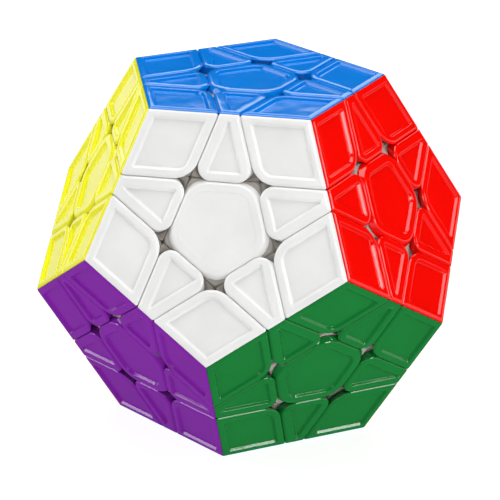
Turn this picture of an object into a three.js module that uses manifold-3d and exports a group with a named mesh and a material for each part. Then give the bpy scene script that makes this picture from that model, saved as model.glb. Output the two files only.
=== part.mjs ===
// Dodecahedron twisty puzzle: twelve faces that turn about a twelve-armed core.
// Millimetres, +Z up. The puzzle stands on its light blue face, with the origin at the middle of that face.
import * as THREE from "three";
import { mergeVertices } from "three/addons/utils/BufferGeometryUtils.js";
import Module from "manifold-3d";

const wasm = await Module();
wasm.setup();

// ---- Driving dimensions -------------------------------------------------------------------------
const SIDE = 30; // side of one face's pentagon
const LAYER = 0.38 * SIDE; // depth of a turning layer, measured in from its face
const FOOT_R = SIDE; // radius of the ball that all the hidden feet stay inside
const CONE = THREE.MathUtils.degToRad(50); // half angle of the cone that a face's hidden feet sweep
const GAP = 0.4; // running gap between neighbouring pieces
const ROUND = 15; // facets round a turned surface, a multiple of five
const EDGE_IN = 0.68 * SIDE; // how near an edge piece's foot comes to the puzzle's centre
const CORNER_IN = 0.72 * SIDE; // the same for a corner piece's foot

const BALL_R = 12; // the core's ball
const ARM_R = 3; // the core's arms
const ARM_TOP = 21.6; // end of an arm, from the puzzle's centre
const ARM_BORE_R = 1.5;
const ARM_BORE_BOTTOM = 14;
const FLANGE_BOTTOM = 22; // the flange in a centre piece's stem, which sits on the arm
const FLANGE_TOP = 24;
const FLANGE_BORE_R = 1.6;
const WELL_R = 3.9; // the well above the flange, for the spring and the screw's head
const WELL_TOP = 31.4;
const SHANK_R = 1.2; // the tension screw
const SHANK_BOTTOM = 15;
const HEAD_R = 3.2;
const HEAD_BOTTOM = 28.6;
const HEAD_TOP = 30.6;
const SLOT = { length: 4.6, width: 0.8, depth: 1 }; // each arm of the cross in a screw's head
const SPRING = { radius: 2.6, wire: 0.35, bottom: 24.7, top: 27.9, turns: 4, stepsPerTurn: 9 };
const TIE_R = 1.2; // bar that joins two pieces of a cluster
const TIE_DISTANCE = 1.1 * SIDE; // how far out from the puzzle's centre the bar runs
const REACH = 1.5 * SIDE; // beyond the puzzle's farthest corner
const BIG = 2 * REACH; // larger than anything that is cut

// ---- The dodecahedron's own measures --------------------------------------------------------------
const INRADIUS = (SIDE / 2) * Math.sqrt((25 + 11 * Math.sqrt(5)) / 10);
const CUT = INRADIUS - LAYER; // distance of a layer's cutting plane from the puzzle's centre
const RING_TILT = Math.atan(2); // angle between the normals of neighbouring faces
const EDGE_TILT = RING_TILT / 2; // from an edge's middle to its two faces' normals
const END_TILT = Math.PI / 2 - EDGE_TILT; // from an edge's middle to the normals of the faces at its ends
const CORNER_TILT = Math.asin(Math.sin(EDGE_TILT) / Math.sin(Math.PI / 3));
const FIFTH = (2 * Math.PI) / 5;
const THIRD = (2 * Math.PI) / 3;
const UP = new THREE.Vector3(0, 0, 1);

// Tilts of the four rings of faces: top, upper five, lower five, bottom.
const RINGS = { top: 0, upper: RING_TILT, lower: Math.PI - RING_TILT, bottom: Math.PI };
const FACES = [
  { name: "blue", ring: "top", azimuth: 0, colour: 0x0a78dc },
  { name: "white", ring: "upper", azimuth: -90, colour: 0xf2f2f0 },
  { name: "red", ring: "upper", azimuth: -18, colour: 0xf01405 },
  { name: "pink", ring: "upper", azimuth: 54, colour: 0xff8fb8 },
  { name: "lime", ring: "upper", azimuth: 126, colour: 0x7ed321 },
  { name: "yellow", ring: "upper", azimuth: 198, colour: 0xf5ee1e },
  { name: "green", ring: "lower", azimuth: -54, colour: 0x14823a },
  { name: "cream", ring: "lower", azimuth: 18, colour: 0xf3e6b8 },
  { name: "grey", ring: "lower", azimuth: 90, colour: 0x8a8d91 },
  { name: "orange", ring: "lower", azimuth: 162, colour: 0xff7a0a },
  { name: "purple", ring: "lower", azimuth: 234, colour: 0x7d2aa0 },
  { name: "light_blue", ring: "bottom", azimuth: 0, colour: 0x7cc8f0 },
];
const TURNING = ["blue", "green", "orange"]; // faces whose layers share no piece
// Pieces joined into one solid: a corner piece and the edge pieces listed with it.
const CLUSTERS = {
  "red pink cream": ["red pink", "red cream"],
  "pink lime grey": ["pink lime", "lime grey"],
  "pink cream grey": ["pink cream", "pink grey", "cream grey"],
  "cream grey light_blue": ["cream light_blue", "grey light_blue"],
};
const MECHANISM = { color: 0xc9c9c6, roughness: 0.45, metalness: 0 };
const STEEL = { color: 0xb8bcc0, roughness: 0.3, metalness: 1 };

// ---- Directions and frames ------------------------------------------------------------------------
/** Unit vector tilted away from +Z, towards an azimuth. */
function direction(tilt, azimuth) {
  const level = Math.sin(tilt);
  return new THREE.Vector3(level * Math.cos(azimuth), level * Math.sin(azimuth), Math.cos(tilt));
}

/** Rotation that takes +Z to axis, and +X as near as it can to side. */
function frameOf(axis, side) {
  const x = side.clone().addScaledVector(axis, -side.dot(axis)).normalize();
  const y = new THREE.Vector3().crossVectors(axis, x);
  return new THREE.Matrix4().makeBasis(x, y, axis);
}

// ---- Solids, joined and cut -----------------------------------------------------------------------
/** A closed three.js geometry as a solid that can be joined and cut. */
function solid(geometry) {
  const bare = geometry.clone();
  bare.deleteAttribute("normal");
  bare.deleteAttribute("uv");
  const merged = mergeVertices(bare, 1e-5);
  const vertProperties = new Float32Array(merged.attributes.position.array);
  const triVerts = new Uint32Array(merged.index.array);
  return new wasm.Manifold(new wasm.Mesh({ numProp: 3, vertProperties, triVerts }));
}

/** The surface of a solid as a three.js geometry. */
function geometryOf(body) {
  const mesh = body.getMesh();
  const geometry = new THREE.BufferGeometry();
  geometry.setAttribute("position", new THREE.BufferAttribute(new Float32Array(mesh.vertProperties), 3));
  geometry.setIndex(new THREE.BufferAttribute(new Uint32Array(mesh.triVerts), 1));
  geometry.computeVertexNormals();
  return geometry;
}

/** Solid turned about +Z from points (radius, height). */
function turned(points, facets) {
  const profile = points.map(([radius, height]) => new THREE.Vector2(radius, height));
  return new THREE.LatheGeometry(profile, facets).rotateX(Math.PI / 2);
}

/** Round bar along +Z. */
function bar(radius, bottom, top, facets) {
  return turned([[0, bottom], [radius, bottom], [radius, top], [0, top]], facets);
}

/** What a face's layer holds, about +Z: the cone that its feet sweep, and a disc above the cutting plane. */
function layerGeometry(inset, swell, discRadius, top) {
  const plane = CUT + inset;
  const ball = FOOT_R - inset;
  const apex = inset / Math.sin(CONE);
  const slant = ball - apex * Math.cos(CONE);
  const profile = [
    [0, apex],
    [swell * slant * Math.sin(CONE), apex + slant * Math.cos(CONE)],
    [swell * Math.sqrt(ball * ball - plane * plane), plane],
    [discRadius, plane],
    [discRadius, top],
    [0, top],
  ];
  return turned(profile, ROUND);
}

/** Space for a piece of the layer whose face looks along normal. */
function inLayer(normal, side) {
  return solid(layerGeometry(GAP / 2, 1, REACH, INRADIUS).applyMatrix4(frameOf(normal, side)));
}

/** Space kept free for another face's layer, whose facets stand outside the circle that its feet sweep. */
function keptFree(normal, side) {
  const swell = 1 / Math.cos(Math.PI / ROUND);
  return solid(layerGeometry(-GAP / 2, swell, BIG, BIG).applyMatrix4(frameOf(normal, side)));
}

/** Everything below a height. */
function below(height) {
  return solid(new THREE.BoxGeometry(BIG, BIG, BIG).translate(0, 0, height - BIG / 2));
}

// ---- The three kinds of piece, each about its own +Z from the puzzle's centre ---------------------
/** Centre piece: a pentagonal cap on a stem, with a flange on the core's arm and a well above it. */
function centrePiece() {
  let body = inLayer(UP, direction(RING_TILT, 0));
  for (let i = 0; i < 5; i += 1) body = body.subtract(keptFree(direction(RING_TILT, i * FIFTH), UP));
  body = body.subtract(below(FLANGE_BOTTOM));
  body = body.subtract(solid(bar(WELL_R, FLANGE_TOP, WELL_TOP, 15)));
  return body.subtract(solid(bar(FLANGE_BORE_R, FLANGE_BOTTOM - 1, FLANGE_TOP + 1, 10)));
}

/** Edge piece: two faces over a foot that runs in under both centre pieces. */
function edgePiece() {
  const normals = [direction(EDGE_TILT, 0), direction(EDGE_TILT, Math.PI)];
  let body = inLayer(normals[0], normals[1]).intersect(inLayer(normals[1], normals[0]));
  for (const azimuth of [Math.PI / 2, -Math.PI / 2]) {
    body = body.subtract(keptFree(direction(END_TILT, azimuth), normals[0]));
  }
  return body.subtract(below(EDGE_IN));
}

/** Corner piece: three faces over a foot that runs in under the edge and centre pieces. */
function cornerPiece() {
  const normals = [0, 1, 2].map((i) => direction(CORNER_TILT, i * THIRD));
  let body = inLayer(normals[0], normals[1]);
  for (const normal of normals.slice(1)) body = body.intersect(inLayer(normal, normals[0]));
  return body.subtract(below(CORNER_IN));
}

// ---- The core and its hardware --------------------------------------------------------------------
/** A tension screw's plain body along +Z. */
function screwBlank(facets) {
  const profile = [
    [0, SHANK_BOTTOM],
    [SHANK_R, SHANK_BOTTOM],
    [SHANK_R, HEAD_BOTTOM],
    [HEAD_R, HEAD_BOTTOM],
    [HEAD_R, HEAD_TOP],
    [0, HEAD_TOP],
  ];
  return turned(profile, facets);
}

/** Tension screw with a cross slot in its head. */
function screw() {
  const slot = new THREE.BoxGeometry(SLOT.length, SLOT.width, 2 * SLOT.depth).translate(0, 0, HEAD_TOP);
  const blank = solid(screwBlank(12)).subtract(solid(slot));
  return blank.subtract(solid(slot.rotateZ(Math.PI / 2)));
}

/** The line of a spring's wire, round +Z. */
class Helix extends THREE.Curve {
  getPoint(t, target = new THREE.Vector3()) {
    const angle = 2 * Math.PI * SPRING.turns * t;
    const height = THREE.MathUtils.lerp(SPRING.bottom, SPRING.top, t);
    return target.set(SPRING.radius * Math.cos(angle), SPRING.radius * Math.sin(angle), height);
  }
}

/** Compression spring round a screw's shank. */
function springGeometry() {
  const wire = new THREE.Shape().absarc(0, 0, SPRING.wire, 0, 2 * Math.PI, false);
  return new THREE.ExtrudeGeometry(wire, {
    curveSegments: 3,
    steps: SPRING.turns * SPRING.stepsPerTurn,
    extrudePath: new Helix(),
    bevelEnabled: false,
  });
}

/** Core: a ball with an arm for each face, bored for the turning faces' screws, the other screws in place. */
function core() {
  let body = solid(new THREE.SphereGeometry(BALL_R, 15, 10));
  for (const face of faces) {
    body = body.add(solid(bar(ARM_R, 0, ARM_TOP, 9).applyMatrix4(face.frame)));
  }
  for (const face of faces) {
    if (TURNING.includes(face.name)) {
      const bore = bar(ARM_BORE_R, ARM_BORE_BOTTOM, ARM_TOP + 1, 9);
      body = body.subtract(solid(bore.applyMatrix4(face.frame)));
    } else {
      body = body.add(solid(screwBlank(9).applyMatrix4(face.frame)));
    }
  }
  return body;
}

// ---- Faces, edges and corners ---------------------------------------------------------------------
const faces = FACES.map((face) => {
  const normal = direction(RINGS[face.ring], THREE.MathUtils.degToRad(face.azimuth));
  return { ...face, normal };
});
const areNeighbours = (a, b) => Math.abs(a.normal.dot(b.normal) - Math.cos(RING_TILT)) < 1e-6;
for (const face of faces) {
  const neighbour = faces.find((other) => areNeighbours(face, other));
  face.frame = frameOf(face.normal, neighbour.normal);
}

const edges = [];
const corners = [];
for (const [i, a] of faces.entries()) {
  for (const [j, b] of faces.entries()) {
    if (j <= i || !areNeighbours(a, b)) continue;
    edges.push([a, b]);
    for (const c of faces.slice(j + 1)) {
      if (areNeighbours(a, c) && areNeighbours(b, c)) corners.push([a, b, c]);
    }
  }
}

const keyOf = (group) => group.map((face) => face.name).join(" ");
const nameOf = (kind, group) => [kind, ...group.map((face) => face.name)].join("_");

/** Direction that an edge or corner piece looks along, out between its faces. */
function outward(group) {
  return group.reduce((sum, face) => sum.add(face.normal), new THREE.Vector3()).normalize();
}

/** An edge or corner piece's own frame, with +X towards the first of its faces. */
function frameBetween(group) {
  return frameOf(outward(group), group[0].normal);
}

// ---- The puzzle -------------------------------------------------------------------------------------
const puzzle = new THREE.Group();
puzzle.position.z = INRADIUS;

/** Adds one named piece, turned into its place. */
function place(name, geometry, frame, finish) {
  const mesh = new THREE.Mesh(geometry, new THREE.MeshStandardMaterial(finish));
  mesh.name = name;
  mesh.quaternion.setFromRotationMatrix(frame);
  puzzle.add(mesh);
}

const centreGeometry = geometryOf(centrePiece());
const edgeGeometry = geometryOf(edgePiece());
const cornerGeometry = geometryOf(cornerPiece());
const screwGeometry = geometryOf(screw());
const whole = new THREE.Matrix4();

/** Bar between two directions, a little under the faces. */
function tie(from, to) {
  const start = from.clone().multiplyScalar(TIE_DISTANCE);
  const along = to.clone().multiplyScalar(TIE_DISTANCE).sub(start);
  const frame = frameOf(along.clone().normalize(), from).setPosition(start);
  return solid(bar(TIE_R, 0, along.length(), 6).applyMatrix4(frame));
}

/** A corner piece and some of its edge pieces, tied by bars into one solid. */
function cluster(corner, itsEdges) {
  let body = solid(cornerGeometry.clone().applyMatrix4(frameBetween(corner)));
  for (const edge of itsEdges) {
    body = body.add(solid(edgeGeometry.clone().applyMatrix4(frameBetween(edge))));
    body = body.add(tie(outward(corner), outward(edge)));
  }
  return body;
}

place("core", geometryOf(core()), whole, MECHANISM);
for (const face of faces) {
  place(`centre_${face.name}`, centreGeometry, face.frame, { color: face.colour, roughness: 0.25, metalness: 0 });
  if (!TURNING.includes(face.name)) continue;
  place(`screw_${face.name}`, screwGeometry, face.frame, STEEL);
  place(`spring_${face.name}`, springGeometry(), face.frame, STEEL);
}

const clustered = Object.values(CLUSTERS).flat();
for (const edge of edges) {
  if (clustered.includes(keyOf(edge))) continue;
  place(nameOf("edge", edge), edgeGeometry, frameBetween(edge), MECHANISM);
}
for (const corner of corners) {
  const edgeKeys = CLUSTERS[keyOf(corner)];
  if (edgeKeys) {
    const itsEdges = edges.filter((edge) => edgeKeys.includes(keyOf(edge)));
    place(nameOf("cluster", corner), geometryOf(cluster(corner, itsEdges)), whole, MECHANISM);
  } else {
    place(nameOf("corner", corner), cornerGeometry, frameBetween(corner), MECHANISM);
  }
}

export default puzzle;
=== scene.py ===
import itertools
import math

import bmesh
import bpy
import numpy as np
from mathutils import Matrix, Vector


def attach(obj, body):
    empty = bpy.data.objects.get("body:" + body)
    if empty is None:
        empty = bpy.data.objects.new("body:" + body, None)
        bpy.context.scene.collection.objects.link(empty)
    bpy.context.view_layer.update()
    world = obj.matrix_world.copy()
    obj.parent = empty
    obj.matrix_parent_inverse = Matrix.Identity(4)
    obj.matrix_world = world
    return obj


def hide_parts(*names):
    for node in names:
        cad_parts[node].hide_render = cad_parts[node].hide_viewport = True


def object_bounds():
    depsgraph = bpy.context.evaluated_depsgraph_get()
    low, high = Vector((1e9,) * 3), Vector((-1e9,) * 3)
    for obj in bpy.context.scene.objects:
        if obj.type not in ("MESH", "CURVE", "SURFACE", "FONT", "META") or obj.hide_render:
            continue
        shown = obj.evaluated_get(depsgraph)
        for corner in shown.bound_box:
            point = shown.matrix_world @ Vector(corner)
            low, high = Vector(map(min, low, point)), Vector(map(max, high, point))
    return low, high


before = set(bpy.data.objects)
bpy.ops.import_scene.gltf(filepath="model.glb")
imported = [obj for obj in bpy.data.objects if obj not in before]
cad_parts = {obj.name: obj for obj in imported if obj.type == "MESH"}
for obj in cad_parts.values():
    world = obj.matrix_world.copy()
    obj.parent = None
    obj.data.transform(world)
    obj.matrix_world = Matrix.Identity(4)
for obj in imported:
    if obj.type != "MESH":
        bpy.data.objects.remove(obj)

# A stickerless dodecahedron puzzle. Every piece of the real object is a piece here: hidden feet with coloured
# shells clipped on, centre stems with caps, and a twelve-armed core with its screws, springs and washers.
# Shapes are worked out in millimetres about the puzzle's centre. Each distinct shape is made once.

MM = 0.001
CAD_LOW, CAD_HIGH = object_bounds()
CENTRE = (CAD_LOW + CAD_HIGH) / 2

# Driving sizes. The height comes from the frame, and the layer's depth is a share of the face's side.
INRADIUS = (CAD_HIGH.z - CAD_LOW.z) / MM / 2
MITRE_SLOPE = (math.sqrt(5) - 1) / 2
CUT_SLOPE = 0.5
PENTAGON_IN = INRADIUS * MITRE_SLOPE
SIDE = 2 * PENTAGON_IN * math.tan(math.radians(36))
LAYER = 0.38 * SIDE
CUT = INRADIUS - LAYER
RING_TILT = math.atan(2)
TILE_IN = (CUT - INRADIUS * math.cos(RING_TILT)) / math.sin(RING_TILT)

# Gaps and edges of the coloured shells. A side is either a cut between pieces or the seam between two faces.
# The lip at a side turns over a broad crest, then over a tight round into the wall. The ledges on the stems
# and the posts on the feet show in the openings between the shells.
CUT_GAP = 0.05
SEAM_GAP = 0.03
LIP_CREST = 0.75
LIP_CREST_TURN = math.radians(58)
LIP = 0.12
SEAM_CREST = 1.5
SEAM_CREST_TURN = RING_TILT / 2
SEAM_LIP = 0.1
RIM = 1.5
SEAM_RIM = 1.25
PANEL_DEPTH = 0.55
FAINT_PANEL_DEPTH = 0.06
PANEL_WALL = math.radians(52)
PANEL_TOP_ROUND = 0.3
PANEL_FLOOR_ROUND = 0.22
ROUNDS_SHARE = 0.7  # of a panel's depth, at most, for its two rounds
LEDGE_DEPTH = 1.35
POST_DEPTH = 1.8
CAP_GAP = 0.05
CAP_THICKNESS = LEDGE_DEPTH - CAP_GAP
CAP_BASE_CHAMFER = 0.15
CAP_BASE_SHARE = 0.985
CAP_PLUG_RADIUS = 3.7
CAP_PLUG_END = 2.5
CAP_PLUG_CHAMFER = 0.1

# Radii of the shells' outlines at their corners.
KITE_INNER_ROUND = 5.1
CAP_ROUND = 4.6
WEDGE_INNER_ROUND = 2.7
JUNCTION_ROUND = 0.55
VERTEX_ROUND = 0.2
PANEL_ROUND = 0.6
PANEL_ROUND_LOSS = 1.5 * RIM
PANEL_LEAST_ROUND = 0.15
LIP_LEAST_ROUND = 0.12

# The hidden mechanism: spheres about the puzzle's centre, and cones about each turning axis.
SHELL_SEAT = 30.2
SEAT_MARGIN = 0.2  # the walls' last ring above the seat
SEAT_SHARES = (0.97, 0.7, 0.4)
FOOT_TOP = 29.8
FOOT_NECK_TOP = 30.17
POST_BOTTOM = 30.0
POST_SPAN = (0.2, 0.8)  # of the turn at its corner
POST_CHAMFER = 0.04
NECK_CLEARANCE = 0.006  # radians
NECK_CHAMFER = 0.08
NECK_SHARES = (0.35, 0.7, 0.985)
FOOT_BASE_SHARES = (0.65, 0.3)
CORNER_FOOT_BOTTOM = 21.6
EDGE_FOOT_BOTTOM = 20.4
FOOT_ROUND = 0.45
CONE = math.radians(50)
CONE_GAP = 0.2
STEM_TOP = INRADIUS - LEDGE_DEPTH
STEM_ROUND = 0.06
POST_GAP = 0.06
LEDGE_CUT_GAP = 0.04
WING_CHAMFER = 0.15
WING_DROP = 1.2  # first guess at how far a wing's edge is below the top of its sphere
WING_PASSES = 6
STEM_FLARE = 1.2
WELL_CHAMFER = 0.1
WELL_RADIUS = 3.9
WELL_FLOOR = 24.0
STEM_BOTTOM = 22.0
STEM_RADIUS = 9.0  # about a wing's reach, taken off while its bounds are rounded
BORE_RADIUS = 1.6
CORE_RADIUS = 12.0
ARM_RADIUS = 3.0
ARM_END = 21.6
ARM_BORE = 1.5
ARM_BORE_END = 14.0
ARM_FILLET = 1.2
ARM_CHAMFER = 0.3
ARM_BORE_CHAMFER = 0.2
CORE_SHARES = (0.35, 0.7, 1)
MERGE_DISTANCE = 0.01

# Screws, washers and springs.
SCREW_HEAD_RADIUS = 3.1
SCREW_HEAD_LOW = 28.6
SCREW_HEAD_HIGH = 30.6
SCREW_FLAT_RADIUS = 2.4
SCREW_DOME = 0.7
SCREW_RADIUS = 1.2
SCREW_END = 15.0
SCREW_TIP_SHARE = 0.7
THREAD_PITCH = 0.5
THREAD_DEPTH = 0.18
THREAD_TOP = 22.0
SLOT_LENGTH = 2.2
SLOT_WIDTH = 0.4
SLOT_DEPTH = 1.0
SLOT_FLOOR_SHARE = 0.8
SLOT_BORDER = 0.1
SLOT_BORDER_RADIUS = 2.35
WASHER_LOW = 28.27
WASHER_HIGH = 28.56
WASHER_RADIUS = 3.1
WASHER_HOLE = 1.35
WASHER_EDGE = 0.06
SPRING_LOW = 24.4
SPRING_HIGH = 28.2
SPRING_RADIUS = 2.6
WIRE_RADIUS = 0.32
SPRING_TURNS = 5
SPRING_FLAT_TURNS = 0.75  # at each end
SPRING_EVEN_RISE = 0.06  # the share of its height that it gains evenly all along

ARC_STEPS = 8
LIP_STEPS = 4
STRAIGHT_STEPS = 5
LATHE_STEPS = 72
CORE_STEPS = 60
SPRING_STEPS = 28
WIRE_STEPS = 12
QUARTER_TURN = np.linspace(0, math.pi / 2, 5)
FIFTH = math.radians(72)

ANGLE_TOLERANCE = 0.01
PARALLEL = 3  # radians between two sides' outward angles, past which they don't meet

# How tightly the least of several bounds is rounded, for lengths and for angles. Bounds past the cap are all
# alike, and a side that leans less than LEAST_LEAN towards a direction doesn't bound it.
LENGTH_SHARPNESS = 5
ANGLE_SHARPNESS = 90
BOUND_CAP = 9
NO_BOUND = 99.0
LEAST_LEAN = 0.2

# Each face's tilt from +Z and azimuth, in degrees, and its colour.
LOWER_TILT = 180 - math.degrees(RING_TILT)
UPPER_TILT = math.degrees(RING_TILT)
FACES = {
    "blue": (0, 0, "007FE2"),
    "white": (UPPER_TILT, -90, "EDEDEC"),
    "red": (UPPER_TILT, -18, "F20700"),
    "pink": (UPPER_TILT, 54, "FF8FB8"),
    "lime": (UPPER_TILT, 126, "7ED321"),
    "yellow": (UPPER_TILT, 198, "F6F32A"),
    "green": (LOWER_TILT, -54, "127732"),
    "cream": (LOWER_TILT, 18, "F3E6B8"),
    "grey": (LOWER_TILT, 90, "8A8D91"),
    "orange": (LOWER_TILT, 162, "FF7A0A"),
    "purple": (LOWER_TILT, 234, "831FA6"),
    "light_blue": (180, 0, "7CC8F0"),
}
MECHANISM = "B0AAA2"
STEEL = "B8BCC0"
SPECULAR = 0.5
PLASTIC_ROUGHNESS = 0.05
MECHANISM_ROUGHNESS = 0.42
STEEL_ROUGHNESS = 0.28
LAYERS = ("blue", "green", "orange")

# Four hidden corners are one CAD node each with some of their edges.
CLUSTERS = {
    "cluster_red_pink_cream": ("corner_red_pink_cream", "edge_red_pink", "edge_red_cream"),
    "cluster_pink_lime_grey": ("corner_pink_lime_grey", "edge_pink_lime", "edge_lime_grey"),
    "cluster_pink_cream_grey": (
        "corner_pink_cream_grey", "edge_pink_cream", "edge_pink_grey", "edge_cream_grey",
    ),
    "cluster_cream_grey_light_blue": (
        "corner_cream_grey_light_blue", "edge_cream_light_blue", "edge_grey_light_blue",
    ),
}
CLUSTER_OF = {piece: cluster for cluster, members in CLUSTERS.items() for piece in members}


def direction(tilt, azimuth):
    tilt, azimuth = math.radians(tilt), math.radians(azimuth)
    flat = math.sin(tilt)
    return Vector((flat * math.cos(azimuth), flat * math.sin(azimuth), math.cos(tilt)))


NORMALS = {face: direction(tilt, azimuth) for face, (tilt, azimuth, _) in FACES.items()}


def adjacent(one, other):
    return abs(NORMALS[one].angle(NORMALS[other]) - RING_TILT) < ANGLE_TOLERANCE


def axes_towards(up, towards):
    """Rotation whose Z is up and whose X leans towards the second direction."""
    across = (towards - up * up.dot(towards)).normalized()
    return Matrix((across, up.cross(across), up)).transposed()


def centre_axes(face):
    """A centre's own axes: out of its face, and towards the first of its neighbours."""
    neighbour = next(other for other in NORMALS if other != face and adjacent(face, other))
    return axes_towards(NORMALS[face], NORMALS[neighbour])


# ---------------------------------------------------------------- skins made from rings

def loft(rings, start=None, end=None, loop=False):
    """Points and faces of a skin through rings of equal count, counter-clockwise as seen from the first."""
    count = len(rings[0])
    points = [point for ring in rings for point in ring]
    faces = []
    for i in range(len(rings) - 1 + loop):
        near = i * count
        far = (i + 1) % len(rings) * count
        for j in range(count):
            k = (j + 1) % count
            faces.append((near + j, far + j, far + k, near + k))
    if start is not None:
        points.append(start)
        faces += [(len(points) - 1, j, (j + 1) % count) for j in range(count)]
    if end is not None:
        points.append(end)
        last = (len(rings) - 1) * count
        faces += [(last + j, len(points) - 1, last + (j + 1) % count) for j in range(count)]
    return np.array(points, float), faces


def weighted_normals(points, faces):
    """Normals at the points, weighted by area, so that flat stretches between small rounds stay flat."""
    normals = np.zeros_like(points)
    for corners in (3, 4):
        chosen = np.array([face for face in faces if len(face) == corners])
        if len(chosen) == 0:
            continue
        p = points[chosen]
        area = np.cross(p[:, 2] - p[:, 0], p[:, -1] - p[:, 1])
        for corner in range(corners):
            np.add.at(normals, chosen[:, corner], area)
    return normals / np.linalg.norm(normals, axis=1, keepdims=True)


def mesh_of(name, points, faces):
    mesh = bpy.data.meshes.new(name)
    mesh.from_pydata((points * MM).tolist(), [], faces)
    mesh.shade_smooth()
    mesh.normals_split_custom_set_from_vertices(weighted_normals(points, faces).tolist())
    return mesh


def down_to_sphere(high, low, radius):
    """Where lines through two levels of points meet a sphere about the puzzle's centre."""
    step = low - high
    a = (step ** 2).sum(axis=1)
    b = 2 * (high * step).sum(axis=1)
    c = (high ** 2).sum(axis=1) - radius ** 2
    depth = (-b - np.sqrt(b ** 2 - 4 * a * c)) / (2 * a)
    return high + depth[:, None] * step


def smallest(values, sharpness):
    """The least of several curves, rounded where they cross."""
    total = sum(np.exp(-sharpness * np.minimum(value, BOUND_CAP)) for value in values)
    return -np.log(total) / sharpness


def joined(parts):
    """Several skins as the points and faces of one piece."""
    points, faces = [], []
    for own_points, own_faces in parts:
        start = sum(len(earlier) for earlier in points)
        faces += [tuple(index + start for index in corners) for corners in own_faces]
        points.append(own_points)
    return np.concatenate(points), faces


# ---------------------------------------------------------------- coloured shells

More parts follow.
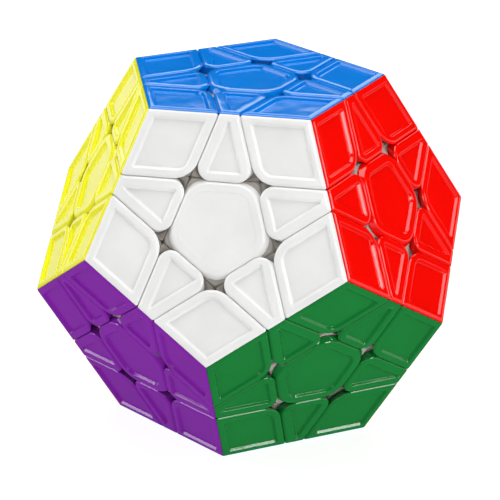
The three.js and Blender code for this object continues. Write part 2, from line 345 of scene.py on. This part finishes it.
class Tile:
    """A face's tile: its sides' outward angles, offsets, slopes with depth, seam flags, and corner rounds."""

    def __init__(self, angles, offsets, slopes, seams, rounds):
        self.angles = np.radians(angles)
        self.slopes = np.array(slopes, float)
        self.seams = np.array(seams)
        self.offsets = np.array(offsets, float) - np.where(self.seams, SEAM_GAP, CUT_GAP)
        self.rounds = np.array(rounds, float)
        self.rims = np.where(self.seams, SEAM_RIM, RIM)

    def ring(self, offsets, rounds, depths):
        """The outline with its sides at these offsets and depths, and its corners rounded."""
        offsets = self.closed_in(offsets, rounds)
        arcs = []
        for i, angle in enumerate(self.angles):
            j = (i + 1) % len(self.angles)
            turn = (self.angles[j] - angle) % math.tau
            normals = np.array([[math.cos(a), math.sin(a)] for a in (angle, self.angles[j])])
            middle = np.linalg.solve(normals, [offsets[i] - rounds[i], offsets[j] - rounds[i]])
            share = np.linspace(0, 1, ARC_STEPS + 1)
            around = angle + share * turn
            x = middle[0] + rounds[i] * np.cos(around)
            y = middle[1] + rounds[i] * np.sin(around)
            z = INRADIUS - (depths[i] + share * (depths[j] - depths[i]))
            arcs.append(np.stack([x, y, z], axis=1))
        share = np.linspace(0, 1, STRAIGHT_STEPS + 2)[1:-1, None]
        parts = []
        for i, arc in enumerate(arcs):
            before = arcs[i - 1][-1]
            parts += [before + share * (arc[0] - before), arc]
        return np.concatenate(parts)

    def closed_in(self, offsets, rounds):
        """A side that lies beyond where its two neighbours meet moves in to their shared round."""
        offsets = np.array(offsets, float)
        for i, angle in enumerate(self.angles):
            before, after = self.angles[i - 1], self.angles[(i + 1) % len(self.angles)]
            if (after - before) % math.tau > PARALLEL:
                continue
            normals = np.array([[math.cos(a), math.sin(a)] for a in (before, after)])
            beside = np.array([offsets[i - 1], offsets[(i + 1) % len(offsets)]])
            apex = np.linalg.solve(normals, beside - rounds[i])
            offsets[i] = min(offsets[i], apex @ [math.cos(angle), math.sin(angle)] + rounds[i])
        return offsets

    def level(self, inset, depth, rounds):
        """A flat ring with its sides moved in, all alike or each by its own inset."""
        return self.ring(self.offsets - inset, rounds, np.full(len(self.angles), depth))

    def panel(self, depth):
        """Rings from the sunken floor's edge out to the flat rim."""
        top, floor = PANEL_TOP_ROUND, PANEL_FLOOR_ROUND
        wall = min(PANEL_WALL, math.acos(max(0, 1 - ROUNDS_SHARE * depth / (top + floor))))
        straight = depth - (top + floor) * (1 - math.cos(wall))
        run = (top + floor) * math.sin(wall) + straight / math.tan(wall)
        turns = np.linspace(0, wall, 5)
        steps = [(run - floor * math.sin(a), depth - floor * (1 - math.cos(a))) for a in turns]
        steps += [(top * math.sin(a), top * (1 - math.cos(a))) for a in turns[::-1]]
        edge = np.maximum(self.rounds - PANEL_ROUND_LOSS, PANEL_ROUND)
        return [self.level(self.rims + inset, down, np.maximum(edge - inset, PANEL_LEAST_ROUND))
                for inset, down in steps]

    def lip(self):
        """Rings from the rim's outer edge over a broad crest, then round tightly into the walls."""
        end = np.arctan2(1, self.slopes)
        crest = np.where(self.seams, SEAM_CREST_TURN, LIP_CREST_TURN)
        broad = np.where(self.seams, SEAM_CREST, LIP_CREST)
        tight = np.where(self.seams, SEAM_LIP, LIP)
        over, down = (broad - tight) * np.sin(crest), (broad - tight) * np.cos(crest)
        drop = broad - down - tight * np.cos(end)
        start = self.offsets + self.slopes * drop - over - tight * np.sin(end)
        rings = []
        for share in np.linspace(0, 2, 2 * LIP_STEPS + 1):
            if share <= 1:
                turn = share * crest
                offsets = start + broad * np.sin(turn)
                depths = broad * (1 - np.cos(turn))
            else:
                turn = crest + (share - 1) * (end - crest)
                offsets = start + over + tight * np.sin(turn)
                depths = broad - down - tight * np.cos(turn)
            insets = self.offsets - offsets
            rounds = self.rounds - np.maximum(insets, np.roll(insets, -1))
            rings.append(self.ring(offsets, np.maximum(rounds, LIP_LEAST_ROUND), depths))
        return rings

    def wall(self, radius):
        """The ring where the walls meet a sphere about the puzzle's centre."""
        ones = np.ones(len(self.angles))
        return down_to_sphere(self.ring(self.offsets, self.rounds, 0 * ones),
                              self.ring(self.offsets + self.slopes, self.rounds, ones), radius)

    def post(self, i):
        """The foot's post in the corner that the shell's round leaves free after side i, below the ledges."""
        j = (i + 1) % len(self.angles)
        turn = (self.angles[j] - self.angles[i]) % math.tau
        normals = np.array([[math.cos(a), math.sin(a)] for a in (self.angles[i], self.angles[j])])
        size = self.rounds[i]

        def place(around, radius, depth):
            offsets = (self.offsets + CUT_GAP - LEDGE_CUT_GAP + self.slopes * depth - size)[[i, j]]
            middle = np.linalg.solve(normals, offsets)
            angle = self.angles[i] + around
            x = middle[0] + radius * math.cos(angle)
            y = middle[1] + radius * math.sin(angle)
            return np.array([x, y, INRADIUS - depth])

        def low_end(around, radius):
            high, low = place(around, radius, 0), place(around, radius, 1)
            return down_to_sphere(high[None], low[None], POST_BOTTOM)[0]

        rings = []
        for around in np.linspace(*POST_SPAN, 2 * ARC_STEPS + 1) * turn:
            sides = [np.array([size / math.cos(around)]), np.array([size / math.cos(turn - around)])]
            outer = smallest(sides, LENGTH_SHARPNESS)[0]
            inner = size + POST_GAP
            rings.append(np.array([
                place(around, outer - POST_CHAMFER, POST_DEPTH),
                place(around, outer, POST_DEPTH + POST_CHAMFER),
                low_end(around, outer),
                low_end(around, inner),
                place(around, inner, POST_DEPTH),
            ]))
        return loft(rings, start=rings[0].mean(axis=0), end=rings[-1].mean(axis=0))


KITE = Tile(
    angles=(-36, 36, 144, 216),
    offsets=(PENTAGON_IN, PENTAGON_IN, -TILE_IN, -TILE_IN),
    slopes=(-MITRE_SLOPE, -MITRE_SLOPE, -CUT_SLOPE, -CUT_SLOPE),
    seams=(True, True, False, False),
    rounds=(VERTEX_ROUND, JUNCTION_ROUND, KITE_INNER_ROUND, JUNCTION_ROUND),
)
WEDGE = Tile(
    angles=(0, 72, 180, 288),
    offsets=(PENTAGON_IN, TILE_IN, -TILE_IN, TILE_IN),
    slopes=(-MITRE_SLOPE, CUT_SLOPE, -CUT_SLOPE, CUT_SLOPE),
    seams=(True, False, False, False),
    rounds=(JUNCTION_ROUND, WEDGE_INNER_ROUND, WEDGE_INNER_ROUND, JUNCTION_ROUND),
)
CAP = Tile(
    angles=(0, 72, 144, 216, 288),
    offsets=(TILE_IN,) * 5,
    slopes=(CUT_SLOPE,) * 5,
    seams=(False,) * 5,
    rounds=(CAP_ROUND,) * 5,
)


def floor_centre(ring):
    middle = ring.mean(axis=0)
    middle[2] = ring[0][2]
    return middle


def shell(tile):
    """A corner's or an edge's shell: panel, rim, lip, and walls down to a seat on a sphere."""
    panel = tile.panel(PANEL_DEPTH)
    seat = tile.wall(SHELL_SEAT)
    middle = seat.mean(axis=0)
    middle *= SHELL_SEAT / np.linalg.norm(middle)
    rings = panel + tile.lip() + [tile.wall(SHELL_SEAT + SEAT_MARGIN)]
    for share in SEAT_SHARES:
        inner = middle + share * (seat - middle)
        rings.append(inner * SHELL_SEAT / np.linalg.norm(inner, axis=1, keepdims=True))
    return loft(rings, start=floor_centre(panel[0]), end=middle)


def cap(panel_depth):
    """A centre's cap: panel, rim, lip and walls, with a round plug below that fits the stem's well."""
    panel = CAP.panel(panel_depth)
    base = CAP.ring(CAP.offsets + CUT_SLOPE * CAP_THICKNESS, CAP.rounds, np.full(5, CAP_THICKNESS))
    rings = panel + CAP.lip()
    rings += [base + [0, 0, CAP_BASE_CHAMFER], base * [CAP_BASE_SHARE, CAP_BASE_SHARE, 1]]
    around = base[:, :2] / np.linalg.norm(base[:, :2], axis=1, keepdims=True)
    plug = (
        (CAP_PLUG_RADIUS, CAP_THICKNESS),
        (CAP_PLUG_RADIUS, CAP_PLUG_END - CAP_PLUG_CHAMFER),
        (CAP_PLUG_RADIUS - CAP_PLUG_CHAMFER, CAP_PLUG_END),
    )
    for radius, depth in plug:
        level = np.full((len(base), 1), INRADIUS - depth)
        rings.append(np.concatenate([around * radius, level], axis=1))
    return loft(rings, start=floor_centre(panel[0]), end=(0, 0, INRADIUS - CAP_PLUG_END))


# ---------------------------------------------------------------- feet and stems

AROUND = np.linspace(0, math.tau, LATHE_STEPS, endpoint=False)


def reach(axes, members, member_cosine, other_cosine):
    """How far a piece spreads from its own axis, as an angle at each step round it."""
    bounds = []
    for face, normal in NORMALS.items():
        local = axes.transposed() @ normal
        tilt = math.acos(max(-1, min(1, local.z)))
        swing = AROUND - math.atan2(local.y, local.x)
        lean = np.arctan2(math.sin(tilt) * np.cos(swing), math.cos(tilt))
        amplitude = np.sqrt(math.cos(tilt) ** 2 + (math.sin(tilt) * np.cos(swing)) ** 2)
        inside = face in members
        cosine = member_cosine if inside else other_cosine
        spread = np.arccos(np.clip(cosine / np.maximum(amplitude, 1e-9), -1, 1))
        if inside:
            bounds.append(lean + spread)
        else:
            met = (amplitude > cosine) & (lean > 0)
            bounds.append(np.where(met, lean - spread, NO_BOUND))
    return smallest(bounds, ANGLE_SHARPNESS)


def polar_ring(radius, angles):
    flat = radius * np.sin(angles)
    return np.stack([flat * np.cos(AROUND), flat * np.sin(AROUND), radius * np.cos(angles)], axis=1)


def shell_axes(face, faces):
    """A shell's own axes: out of its face, and towards the piece's other faces."""
    others = sum((NORMALS[other] for other in faces if other != face), Vector())
    return axes_towards(NORMALS[face], others)


def posts(axes, members, tile, tile_corners):
    """The posts under each of the piece's shells, in the foot's own axes."""
    made = []
    for face in members:
        turn = np.array(axes.transposed() @ shell_axes(face, members))
        for i in tile_corners:
            points, faces = tile.post(i)
            made.append((points @ turn.T, faces))
    return made


def foot(axes, members, bottom):
    """The hidden foot under a corner's or an edge's shells: a rounded block between spheres and cones."""
    slack = CONE_GAP / FOOT_TOP
    side = reach(axes, members, math.cos(CONE - slack), math.cos(CONE + slack))
    neck = reach(axes, members, (CUT + CONE_GAP) / FOOT_NECK_TOP, math.cos(CONE + slack)) - NECK_CLEARANCE
    rings = [polar_ring(FOOT_NECK_TOP, neck * share) for share in NECK_SHARES]
    rings += [polar_ring(FOOT_NECK_TOP - NECK_CHAMFER, neck), polar_ring(FOOT_TOP, neck)]
    for turn in QUARTER_TURN:
        inset = FOOT_ROUND * (1 - math.sin(turn))
        radius = FOOT_TOP - FOOT_ROUND * (1 - math.cos(turn))
        rings.append(polar_ring(radius, side - inset / radius))
    for turn in QUARTER_TURN[::-1]:
        inset = FOOT_ROUND * (1 - math.sin(turn))
        radius = bottom + FOOT_ROUND * (1 - math.cos(turn))
        rings.append(polar_ring(radius, side - inset / radius))
    rings += [polar_ring(bottom, side * share) for share in FOOT_BASE_SHARES]
    return loft(rings, start=(0, 0, FOOT_NECK_TOP), end=(0, 0, bottom))


def flat_ring(radius, height):
    """A ring at one height, round or with its own radius at each step."""
    radius = np.broadcast_to(radius, AROUND.shape)
    height = np.broadcast_to(height, AROUND.shape)
    return np.stack([radius * np.cos(AROUND), radius * np.sin(AROUND), height], axis=1)


def stem_outline(height):
    """A centre's radius at each step round it, between the five cuts beside it."""
    offset = (CUT - height * math.cos(RING_TILT)) / math.sin(RING_TILT) - LEDGE_CUT_GAP
    bounds = []
    for j in range(5):
        lean = np.cos(AROUND - j * FIFTH)
        bound = np.where(lean > LEAST_LEAN, offset / np.maximum(lean, LEAST_LEAN), NO_BOUND)
        bounds.append(bound - STEM_RADIUS)
    return STEM_RADIUS + smallest(bounds, LENGTH_SHARPNESS)


def stem(axes, members):
    """A centre's stem: wings under its cap, a cone between the feet, and a well with a bored floor."""
    slack = CONE_GAP / FOOT_TOP
    cone = reach(axes, members, math.cos(CONE - slack), math.cos(CONE + slack))
    rings = [flat_ring(WELL_RADIUS + WELL_CHAMFER, STEM_TOP)]
    for turn in QUARTER_TURN:
        height = STEM_TOP - STEM_ROUND * (1 - math.cos(turn))
        rings.append(flat_ring(stem_outline(height) - STEM_ROUND * (1 - math.sin(turn)), height))
    for seat in (SHELL_SEAT + WING_CHAMFER, SHELL_SEAT):
        radius = stem_outline(seat - WING_DROP)
        for _ in range(WING_PASSES):
            radius = stem_outline(np.sqrt(seat ** 2 - radius ** 2))
        radius = radius - (SHELL_SEAT + WING_CHAMFER - seat)
        rings.append(flat_ring(radius, np.sqrt(seat ** 2 - radius ** 2)))
    rings += [polar_ring(SHELL_SEAT, cone), polar_ring(STEM_BOTTOM + STEM_FLARE, cone)]
    rings.append(flat_ring(STEM_BOTTOM * np.tan(cone), STEM_BOTTOM))
    rings += [flat_ring(BORE_RADIUS, STEM_BOTTOM), flat_ring(BORE_RADIUS, WELL_FLOOR)]
    rings += [flat_ring(WELL_RADIUS, WELL_FLOOR), flat_ring(WELL_RADIUS, STEM_TOP - WELL_CHAMFER)]
    return loft(rings, loop=True)


# ---------------------------------------------------------------- core and hardware

def core():
    """A ball with twelve bored arms: twelve like patches, each out to the middle between its neighbours."""
    around = np.linspace(0, math.tau, CORE_STEPS, endpoint=False)
    swing = (around + FIFTH / 2) % FIFTH - FIFTH / 2
    border = np.arctan(math.tan(RING_TILT / 2) / np.cos(swing))
    root = math.asin((ARM_RADIUS + ARM_FILLET) / CORE_RADIUS)
    root_height = CORE_RADIUS * math.cos(root)

    def turned(radius, height):
        height = np.broadcast_to(height, around.shape)
        return np.stack([radius * np.cos(around), radius * np.sin(around), height], axis=1)

    rings = [
        turned(ARM_BORE, ARM_BORE_END),
        turned(ARM_BORE, ARM_END - ARM_BORE_CHAMFER),
        turned(ARM_BORE + ARM_BORE_CHAMFER, ARM_END),
        turned(ARM_RADIUS - ARM_CHAMFER, ARM_END),
        turned(ARM_RADIUS, ARM_END - ARM_CHAMFER),
    ]
    for turn in QUARTER_TURN:
        out, up = ARM_FILLET * (1 - math.cos(turn)), ARM_FILLET * (1 - math.sin(turn))
        rings.append(turned(ARM_RADIUS + out, root_height + up))
    for share in CORE_SHARES:
        angle = root + share * (border - root)
        rings.append(turned(CORE_RADIUS * np.sin(angle), CORE_RADIUS * np.cos(angle)))
    patch, faces = loft(rings, start=(0, 0, ARM_BORE_END))
    return joined([(patch @ np.array(centre_axes(face)).T, faces) for face in NORMALS])


def screw():
    """A tension screw: a low domed head with a cross slot, a plain shank and a ridged end in the arm."""
    across = np.minimum(np.abs(np.cos(AROUND)), np.abs(np.sin(AROUND)))
    slot = np.minimum(SLOT_LENGTH, SLOT_WIDTH / across.clip(SLOT_WIDTH / SLOT_LENGTH))
    rings = [
        flat_ring(slot * SLOT_FLOOR_SHARE, SCREW_HEAD_HIGH - SLOT_DEPTH),
        flat_ring(slot, SCREW_HEAD_HIGH),
        flat_ring(np.maximum(slot + SLOT_BORDER, SLOT_BORDER_RADIUS), SCREW_HEAD_HIGH),
    ]
    for turn in QUARTER_TURN:
        radius = SCREW_FLAT_RADIUS + (SCREW_HEAD_RADIUS - SCREW_FLAT_RADIUS) * math.sin(turn)
        rings.append(flat_ring(radius, SCREW_HEAD_HIGH - SCREW_DOME * (1 - math.cos(turn))))
    rings += [flat_ring(SCREW_HEAD_RADIUS, SCREW_HEAD_LOW), flat_ring(SCREW_RADIUS, SCREW_HEAD_LOW)]
    height = THREAD_TOP
    while height > SCREW_END + THREAD_PITCH:
        rings.append(flat_ring(SCREW_RADIUS, height))
        rings.append(flat_ring(SCREW_RADIUS - THREAD_DEPTH, height - THREAD_PITCH / 2))
        height -= THREAD_PITCH
    rings.append(flat_ring(SCREW_RADIUS * SCREW_TIP_SHARE, SCREW_END))
    return loft(rings, start=(0, 0, SCREW_HEAD_HIGH - SLOT_DEPTH), end=(0, 0, SCREW_END))


def washer():
    """A flat ring with its edges taken off, outside first and then the hole."""
    edge = WASHER_EDGE
    profile = (
        (WASHER_HOLE + edge, WASHER_HIGH), (WASHER_RADIUS - edge, WASHER_HIGH),
        (WASHER_RADIUS, WASHER_HIGH - edge), (WASHER_RADIUS, WASHER_LOW + edge),
        (WASHER_RADIUS - edge, WASHER_LOW), (WASHER_HOLE + edge, WASHER_LOW),
        (WASHER_HOLE, WASHER_LOW + edge), (WASHER_HOLE, WASHER_HIGH - edge),
    )
    return loft([flat_ring(radius, height) for radius, height in profile], loop=True)


def spring():
    """A compression spring whose wire lies nearly flat at both ends."""
    steps = SPRING_TURNS * SPRING_STEPS
    low, high = SPRING_LOW + WIRE_RADIUS, SPRING_HIGH - WIRE_RADIUS
    section = np.linspace(0, math.tau, WIRE_STEPS, endpoint=False)
    up = np.array([0, 0, 1])
    rings = []
    for i in range(steps + 1):
        turns = SPRING_TURNS * i / steps
        rise = min(max((turns - SPRING_FLAT_TURNS) / (SPRING_TURNS - 2 * SPRING_FLAT_TURNS), 0), 1)
        even = SPRING_EVEN_RISE * turns / SPRING_TURNS
        height = low + (high - low) * (even + (1 - SPRING_EVEN_RISE) * rise)
        out = np.array([math.cos(turns * math.tau), math.sin(turns * math.tau), 0])
        middle = out * SPRING_RADIUS + [0, 0, height]
        rings.append([middle + WIRE_RADIUS * (math.cos(a) * out + math.sin(a) * up) for a in section])
    return loft(rings, start=np.mean(rings[0], axis=0), end=np.mean(rings[-1], axis=0))


# ---------------------------------------------------------------- materials

def linear(hex_colour):
    """A colour written as sRGB hex, in linear light."""
    parts = [int(hex_colour[i:i + 2], 16) / 255 for i in (0, 2, 4)]
    return [c / 12.92 if c <= 0.04045 else ((c + 0.055) / 1.055) ** 2.4 for c in parts]


# How fine each noise is, and the middle band of its values.
MOTTLE_SCALE = 120
GLOSS_SCALE = 260
WAVE_SCALE = 180
GRAIN_SCALE = 2600
NOISE_BAND = (0.3, 0.7)
GLOSS_RANGE = (0.85, 1.2)


def noise(tree, place, scale, detail):
    node = tree.nodes.new("ShaderNodeTexNoise")
    node.inputs["Scale"].default_value = scale
    node.inputs["Detail"].default_value = detail
    tree.links.new(place, node.inputs["Vector"])
    return node.outputs["Fac"]


def spread(tree, source, low, high):
    """A noise's middle band stretched to run from low to high."""
    node = tree.nodes.new("ShaderNodeMapRange")
    node.inputs["From Min"].default_value = NOISE_BAND[0]
    node.inputs["From Max"].default_value = NOISE_BAND[1]
    node.inputs["To Min"].default_value = low
    node.inputs["To Max"].default_value = high
    tree.links.new(source, node.inputs["Value"])
    return node.outputs["Result"]


def finish(name, colour, roughness, metallic=0.0, waviness=0.02, grain=0.002, mottle=0.04):
    """A moulded or turned surface: slight mottling, uneven gloss, slow waves and a fine grain."""
    material = bpy.data.materials.new(name)
    material.use_nodes = True
    tree = material.node_tree
    shader = tree.nodes["Principled BSDF"]
    shader.inputs["Metallic"].default_value = metallic
    shader.inputs["Specular IOR Level"].default_value = SPECULAR
    place = tree.nodes.new("ShaderNodeTexCoord").outputs["Object"]

    tint = tree.nodes.new("ShaderNodeMix")
    tint.data_type = "RGBA"
    tint.inputs["A"].default_value = [c * (1 - mottle) for c in colour] + [1]
    tint.inputs["B"].default_value = [min(1, c * (1 + mottle)) for c in colour] + [1]
    tree.links.new(spread(tree, noise(tree, place, MOTTLE_SCALE, 3), 0, 1), tint.inputs["Factor"])
    tree.links.new(tint.outputs["Result"], shader.inputs["Base Color"])

    least, most = (roughness * share for share in GLOSS_RANGE)
    gloss = spread(tree, noise(tree, place, GLOSS_SCALE, 4), least, most)
    tree.links.new(gloss, shader.inputs["Roughness"])

    waves = tree.nodes.new("ShaderNodeBump")
    waves.inputs["Distance"].default_value = waviness * MM
    tree.links.new(noise(tree, place, WAVE_SCALE, 1), waves.inputs["Height"])
    fine = tree.nodes.new("ShaderNodeBump")
    fine.inputs["Distance"].default_value = grain * MM
    tree.links.new(noise(tree, place, GRAIN_SCALE, 2), fine.inputs["Height"])
    tree.links.new(waves.outputs["Normal"], fine.inputs["Normal"])
    tree.links.new(fine.outputs["Normal"], shader.inputs["Normal"])
    return material


MATERIALS = {
    f"{face}_plastic": finish(f"{face}_plastic", linear(colour), PLASTIC_ROUGHNESS)
    for face, (_, _, colour) in FACES.items()
}
MATERIALS["mechanism_plastic"] = finish(
    "mechanism_plastic", linear(MECHANISM), MECHANISM_ROUGHNESS, grain=0.006, mottle=0.06,
)
MATERIALS["steel"] = finish(
    "steel", linear(STEEL), STEEL_ROUGHNESS, metallic=1.0, waviness=0.004, grain=0.004,
)


# ---------------------------------------------------------------- assembly

def body_for(faces):
    """The turning layer that a piece belongs to, or the fixed frame."""
    return next((f"{layer}_layer" for layer in LAYERS if layer in faces), "frame")


def add(name, mesh, axes, slot, body, *nodes):
    """One piece: the shape, turned to its place, riding on its body and standing for its CAD nodes."""
    own = mesh.copy()
    own.name = name
    own.transform(Matrix.Translation(CENTRE) @ axes.to_4x4())
    own.materials.append(MATERIALS[slot])
    piece = bpy.data.objects.new(name, own)
    bpy.context.scene.collection.objects.link(piece)
    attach(piece, body)
    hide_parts(*nodes)


def cad_node(piece):
    return CLUSTER_OF.get(piece, piece)


def piece_axes(faces):
    axis = sum((NORMALS[face] for face in faces), Vector()).normalized()
    return axes_towards(axis, NORMALS[faces[0]])


def add_outer(kind, faces, tile_mesh, foot_mesh):
    """A corner or an edge: its foot and one shell for each face."""
    name = "_".join([kind, *faces])
    body = body_for(faces)
    add(f"{name}_foot", foot_mesh, piece_axes(faces), "mechanism_plastic", body, cad_node(name))
    for face in faces:
        axes = shell_axes(face, faces)
        add(f"{name}_shell_{face}", tile_mesh, axes, f"{face}_plastic", body, cad_node(name))


def add_puzzle():
    edges = [pair for pair in itertools.combinations(FACES, 2) if adjacent(*pair)]
    corners = [
        faces for faces in itertools.combinations(FACES, 3)
        if all(adjacent(*pair) for pair in itertools.combinations(faces, 2))
    ]
    kite = mesh_of("kite", *shell(KITE))
    wedge = mesh_of("wedge", *shell(WEDGE))
    corner_axes, edge_axes = piece_axes(corners[0]), piece_axes(edges[0])
    corner_foot = mesh_of("corner_foot", *joined([
        foot(corner_axes, corners[0], CORNER_FOOT_BOTTOM),
        *posts(corner_axes, corners[0], KITE, (2,)),
    ]))
    edge_foot = mesh_of("edge_foot", *joined([
        foot(edge_axes, edges[0], EDGE_FOOT_BOTTOM),
        *posts(edge_axes, edges[0], WEDGE, (1, 2)),
    ]))
    for faces in corners:
        add_outer("corner", faces, kite, corner_foot)
    for faces in edges:
        add_outer("edge", faces, wedge, edge_foot)

    plain_cap = mesh_of("cap", *cap(PANEL_DEPTH))
    smooth_cap = mesh_of("smooth_cap", *cap(FAINT_PANEL_DEPTH))
    first = next(iter(FACES))
    stem_mesh = mesh_of("stem", *stem(centre_axes(first), (first,)))
    hardware = {
        "screw": mesh_of("screw", *screw()),
        "spring": mesh_of("spring", *spring()),
        "washer": mesh_of("washer", *washer()),
    }
    for face in FACES:
        axes = centre_axes(face)
        body = body_for((face,))
        cap_mesh = smooth_cap if face == "white" else plain_cap
        add(f"centre_{face}_cap", cap_mesh, axes, f"{face}_plastic", body, f"centre_{face}")
        add(f"centre_{face}_stem", stem_mesh, axes, "mechanism_plastic", body, f"centre_{face}")
        for part, mesh in hardware.items():
            node = f"{part}_{face}" if face in LAYERS and part != "washer" else "core"
            add(f"{part}_{face}", mesh, axes, "steel", "frame", node)

    points, faces = core()
    mesh = bpy.data.meshes.new("core")
    mesh.from_pydata((points * MM).tolist(), [], faces)
    merge_shared_points(mesh)
    mesh.shade_smooth()
    add("core_ball_and_arms", mesh, Matrix.Identity(3), "mechanism_plastic", "frame", "core")


def merge_shared_points(mesh):
    """Join the patches' borders into one skin."""
    work = bmesh.new()
    work.from_mesh(mesh)
    bmesh.ops.remove_doubles(work, verts=work.verts, dist=MERGE_DISTANCE * MM)
    work.to_mesh(mesh)
    work.free()


# ---------------------------------------------------------------- floor, light and camera

FLOOR_HALF = 4.0
FLOOR_GREY = 0.35
FLOOR_ROUGHNESS = 0.9
FLOOR_SPECULAR = 0.1
FLOOR_GLOW = 0.86


def add_floor():
    """A pale, glowing floor that glossy rays don't see."""
    mesh = bpy.data.meshes.new("floor")
    ends = ((-1, -1), (1, -1), (1, 1), (-1, 1))
    mesh.from_pydata([(x * FLOOR_HALF, y * FLOOR_HALF, CAD_LOW.z) for x, y in ends], [], [(0, 1, 2, 3)])
    material = bpy.data.materials.new("floor")
    material.use_nodes = True
    shader = material.node_tree.nodes["Principled BSDF"]
    shader.inputs["Base Color"].default_value = (FLOOR_GREY, FLOOR_GREY, FLOOR_GREY, 1)
    shader.inputs["Roughness"].default_value = FLOOR_ROUGHNESS
    shader.inputs["Specular IOR Level"].default_value = FLOOR_SPECULAR
    shader.inputs["Emission Color"].default_value = (1, 1, 1, 1)
    shader.inputs["Emission Strength"].default_value = FLOOR_GLOW
    mesh.materials.append(material)
    floor = bpy.data.objects.new("floor", mesh)
    bpy.context.scene.collection.objects.link(floor)
    floor.visible_glossy = False


def add_softbox(name, azimuth, elevation, distance, width, height, radiance):
    """A rectangular light facing the puzzle. Its power follows from its size and how bright it looks."""
    light = bpy.data.lights.new(name, "AREA")
    light.shape = "RECTANGLE"
    light.size = width
    light.size_y = height
    light.energy = radiance * width * height * math.pi
    lamp = bpy.data.objects.new(name, light)
    place = CENTRE + direction(90 - elevation, azimuth) * distance
    lamp.location = place
    lamp.rotation_euler = (CENTRE - place).to_track_quat("-Z", "Y").to_euler()
    bpy.context.scene.collection.objects.link(lamp)


# How bright the surroundings are, from straight down (0) over the horizon (0.5) to straight up (1).
WORLD_GREYS = (
    (0.001, 0.1), (0.33, 0.12), (0.42, 0.9), (0.495, 1.0), (0.515, 0.02), (0.7, 0.015), (0.999, 0.05),
)

# Each softbox's name, azimuth, elevation, distance, width, height and how bright it looks.
SOFTBOXES = (
    ("overhead", 90, 84, 1.1, 0.85, 0.85, 4.0),
    ("front", -95, 42, 1.3, 1.3, 0.6, 0.3),
    ("front_right", -70, 37, 1.2, 0.2, 0.5, 8.5),
    ("right", 2, 25, 1.2, 0.46, 0.24, 6.0),
    ("low_right", -28, 11.5, 1.2, 0.4, 0.24, 12.0),
    ("left", 188, 30, 1.2, 0.7, 0.5, 3.4),
    ("low_left", -169, 3.5, 1.2, 0.3, 0.22, 5.5),
    ("back", 100, 30.65, 1.4, 1.2, 0.48, 2.4),
)


def add_lights():
    world = bpy.data.worlds.new("studio")
    bpy.context.scene.world = world
    world.use_nodes = True
    tree = world.node_tree
    place = tree.nodes.new("ShaderNodeTexCoord").outputs["Generated"]
    split = tree.nodes.new("ShaderNodeSeparateXYZ")
    tree.links.new(place, split.inputs["Vector"])
    height = tree.nodes.new("ShaderNodeMapRange")
    height.inputs["From Min"].default_value = -1
    tree.links.new(split.outputs["Z"], height.inputs["Value"])
    shade = tree.nodes.new("ShaderNodeValToRGB")
    ramp = shade.color_ramp
    for share, grey in WORLD_GREYS:
        stop = ramp.elements.new(share)
        stop.color = (grey, grey, grey, 1)
    ramp.elements.remove(ramp.elements[-1])
    ramp.elements.remove(ramp.elements[0])
    tree.links.new(height.outputs["Result"], shade.inputs["Fac"])
    tree.links.new(shade.outputs["Color"], tree.nodes["Background"].inputs["Color"])
    for softbox in SOFTBOXES:
        add_softbox(*softbox)


# The view of the photograph: how far off, from where, how far below the centre it aims, and its slight lean.
VIEW_AZIMUTH = -79.12
VIEW_ELEVATION = 22.12
VIEW_DISTANCE = 0.4873
VIEW_DROP = 0.00145
VIEW_ROLL = math.radians(0.394)
LENS = 183.0
SENSOR = 36.0


def add_camera():
    camera = bpy.data.cameras.new("camera")
    camera.lens = LENS
    camera.sensor_width = SENSOR
    holder = bpy.data.objects.new("camera", camera)
    place = CENTRE + direction(90 - VIEW_ELEVATION, VIEW_AZIMUTH) * VIEW_DISTANCE
    aim = CENTRE - Vector((0, 0, VIEW_DROP)) - place
    turn = aim.to_track_quat("-Z", "Y").to_matrix() @ Matrix.Rotation(VIEW_ROLL, 3, "Z")
    holder.matrix_world = Matrix.Translation(place) @ turn.to_4x4()
    bpy.context.scene.collection.objects.link(holder)
    bpy.context.scene.camera = holder


add_puzzle()
add_floor()
add_lights()
add_camera()
bpy.context.scene.view_settings.view_transform = "Standard"
